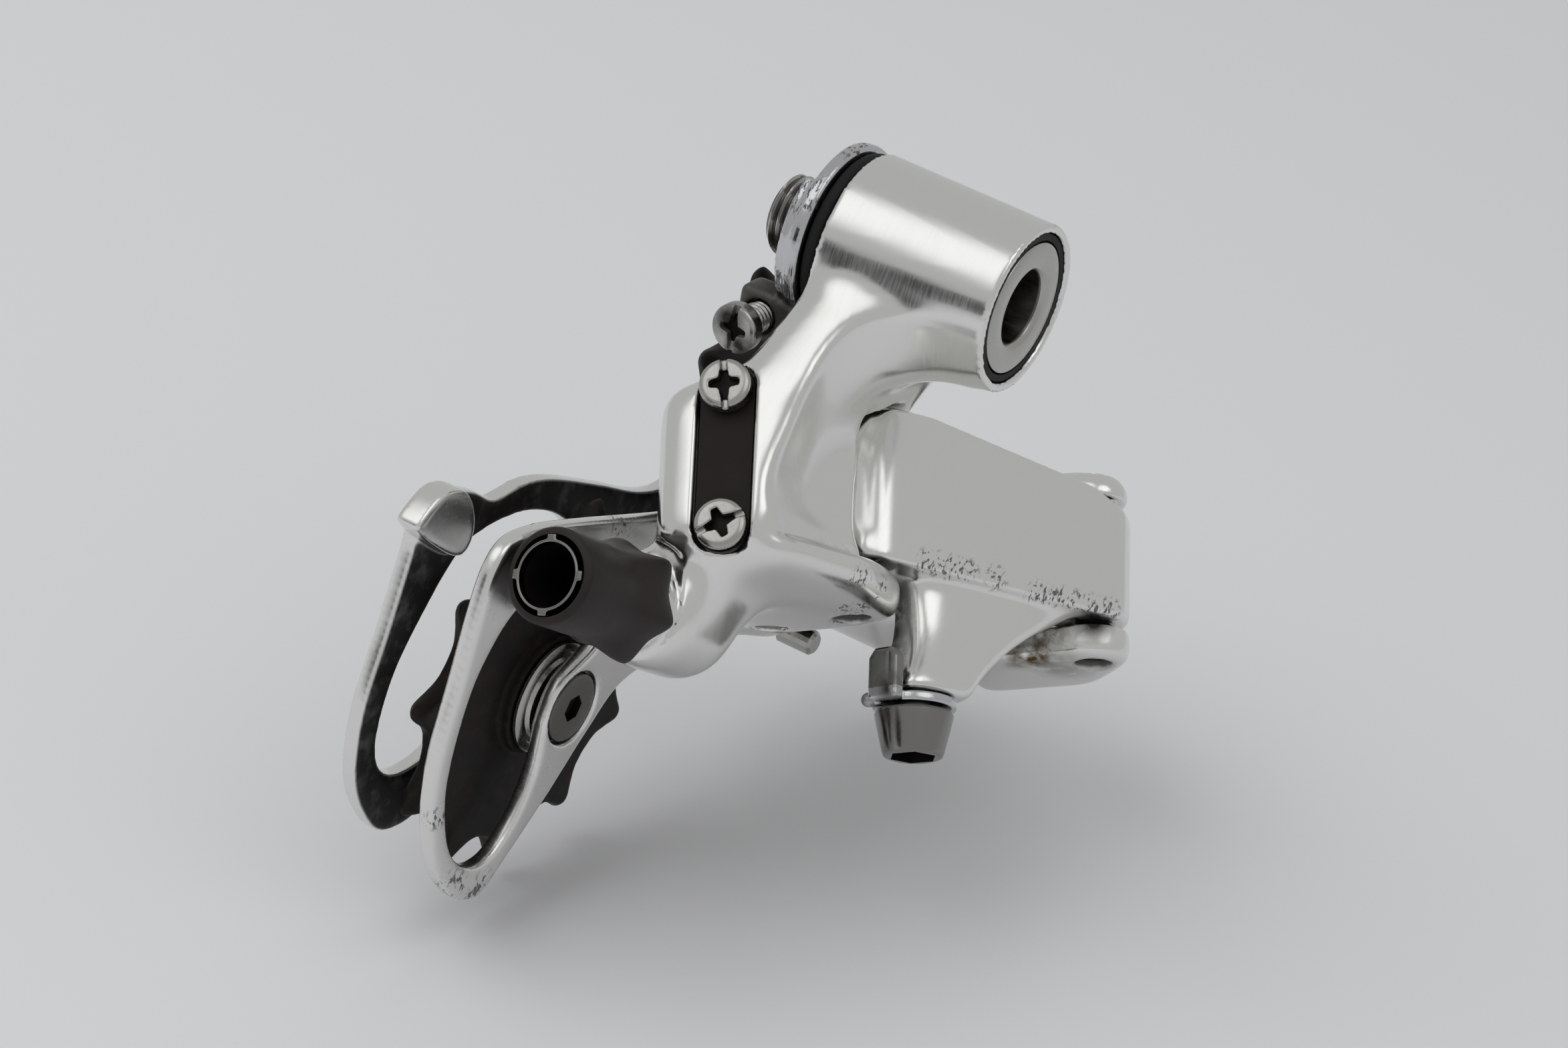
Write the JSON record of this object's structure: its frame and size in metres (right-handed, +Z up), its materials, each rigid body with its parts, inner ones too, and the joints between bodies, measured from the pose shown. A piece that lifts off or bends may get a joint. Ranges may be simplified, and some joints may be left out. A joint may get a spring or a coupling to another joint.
{
  "type": "rear bicycle derailleur",
  "caption": "Rear bicycle derailleur with a polished parallelogram linkage, a sprung chain cage carrying toothed pulleys, limit screws and a cable adjuster.",
  "frame": {"origin": "on the hanger bolt's axis at the hanger face of the stop plate", "axes": "+X outboard along the hanger bolt, +Y towards the front of the bicycle, +Z up"},
  "size_m": [0.0595, 0.0979, 0.0883],
  "materials": {
    "polished_aluminium": "polished",
    "chromed_steel": "chromed",
    "bright_steel": "bright, worn",
    "dark_steel": "blackened",
    "black_rubber": "matt",
    "black_plate": "satin black",
    "grey_brown_plastic": "moulded",
    "pulley_resin": "moulded, worn",
    "spring_steel": "drawn",
    "bronze": "sintered"
  },
  "bodies": {
    "hanger": {"mount_bolt": "bright_steel", "stop_plate": "chromed_steel"},
    "b_tension_screw": {"b_tension_screw": "bright_steel"},
    "upper": {"b_knuckle": "polished_aluminium", "b_seal_inner": "black_rubber", "b_bushing": "bronze", "b_seal_outer": "black_rubber", "b_spring": "spring_steel", "limit_screw_plate": "black_plate", "adjuster_stud": "bright_steel", "adjuster_spring": "spring_steel", "outer_upper_pin": "bright_steel", "inner_upper_pin": "bright_steel", "return_spring": "spring_steel"},
    "high_limit_screw": {"high_limit_screw": "bright_steel"},
    "low_limit_screw": {"low_limit_screw": "bright_steel"},
    "adjuster": {"adjuster_barrel": "grey_brown_plastic", "adjuster_sleeve": "chromed_steel"},
    "outer_link": {"outer_link": "polished_aluminium", "cable_clamp_washer": "chromed_steel", "cable_clamp_bolt": "bright_steel"},
    "inner_link": {"inner_link": "polished_aluminium"},
    "lower": {"p_knuckle": "polished_aluminium", "outer_lower_pin": "bright_steel", "inner_lower_pin": "bright_steel", "cage_spring": "spring_steel"},
    "cage": {"cage_axle": "bright_steel", "cage_seal": "black_rubber", "cage_stop_pin": "bright_steel", "outer_cage_plate": "polished_aluminium", "inner_cage_plate": "polished_aluminium", "guide_pulley_bushing": "bronze", "guide_pulley_outer_cap": "bright_steel", "guide_pulley_inner_cap": "bright_steel", "guide_pulley_bolt": "dark_steel", "tension_pulley_bushing": "bronze", "tension_pulley_outer_cap": "bright_steel", "tension_pulley_inner_cap": "bright_steel", "tension_pulley_bolt": "dark_steel"},
    "guide_pulley": {"guide_pulley": "pulley_resin"},
    "tension_pulley": {"tension_pulley": "pulley_resin"}
  },
  "joints": [
    {"name": "b_pivot", "type": "hinge", "parent": "hanger", "child": "upper", "pos_m": [0, 0, 0], "axis": [1, 0, 0], "range_deg": [-30, 0], "stiffness_Nm_per_rad": 0.5, "springref_deg": 34.38},
    {"name": "b_tension_screw_turn", "type": "hinge", "parent": "hanger", "child": "b_tension_screw", "pos_m": [-0.003, -0.0147, -0.0095], "axis": [0, -1, 0], "range_deg": [-720, 720]},
    {"name": "high_limit_screw_turn", "type": "hinge", "parent": "upper", "child": "high_limit_screw", "pos_m": [0.00273, -0.02379, -0.01157], "axis": [0.1041, -0.7298, 0.6757], "range_deg": [-720, 720]},
    {"name": "low_limit_screw_turn", "type": "hinge", "parent": "upper", "child": "low_limit_screw", "pos_m": [0.01005, -0.03303, -0.02268], "axis": [0.1041, -0.7298, 0.6757], "range_deg": [-720, 720]},
    {"name": "adjuster_turn", "type": "hinge", "parent": "upper", "child": "adjuster", "pos_m": [0.0039, -0.0378, -0.0342], "axis": [-0.136, -0.8577, 0.4958], "range_deg": [-720, 720]},
    {"name": "link_swing", "type": "hinge", "parent": "upper", "child": "outer_link", "pos_m": [0.01128, -0.00371, -0.0295], "axis": [-0.4516, 0.5706, 0.6859], "range_deg": [0, 55], "stiffness_Nm_per_rad": 0.4, "springref_deg": -45.84},
    {"name": "inner_link_swing", "type": "hinge", "parent": "upper", "child": "inner_link", "pos_m": [0.00146, -0.00497, -0.03492], "axis": [-0.4516, 0.5706, 0.6859], "range_deg": [0, 55]},
    {"name": "lower_body_turn", "type": "hinge", "parent": "outer_link", "child": "lower", "pos_m": [0.03147, 0.02405, -0.03929], "axis": [-0.4516, 0.5706, 0.6859], "range_deg": [-55, 0]},
    {"name": "cage_swing", "type": "hinge", "parent": "lower", "child": "cage", "pos_m": [0, 0.022, -0.053], "axis": [1, 0, 0], "range_deg": [0, 115], "stiffness_Nm_per_rad": 0.2, "springref_deg": -57.3},
    {"name": "guide_pulley_spin", "type": "hinge", "parent": "cage", "child": "guide_pulley", "pos_m": [-0.011, 0.0137, -0.0319], "axis": [1, 0, 0], "continuous": true},
    {"name": "tension_pulley_spin", "type": "hinge", "parent": "cage", "child": "tension_pulley", "pos_m": [-0.011, -0.0342, -0.0535], "axis": [1, 0, 0], "continuous": true}
  ],
  "couplings": [
    {"joint": "inner_link_swing", "follows": "link_swing", "ratio": 1},
    {"joint": "lower_body_turn", "follows": "link_swing", "ratio": -1}
  ]
}
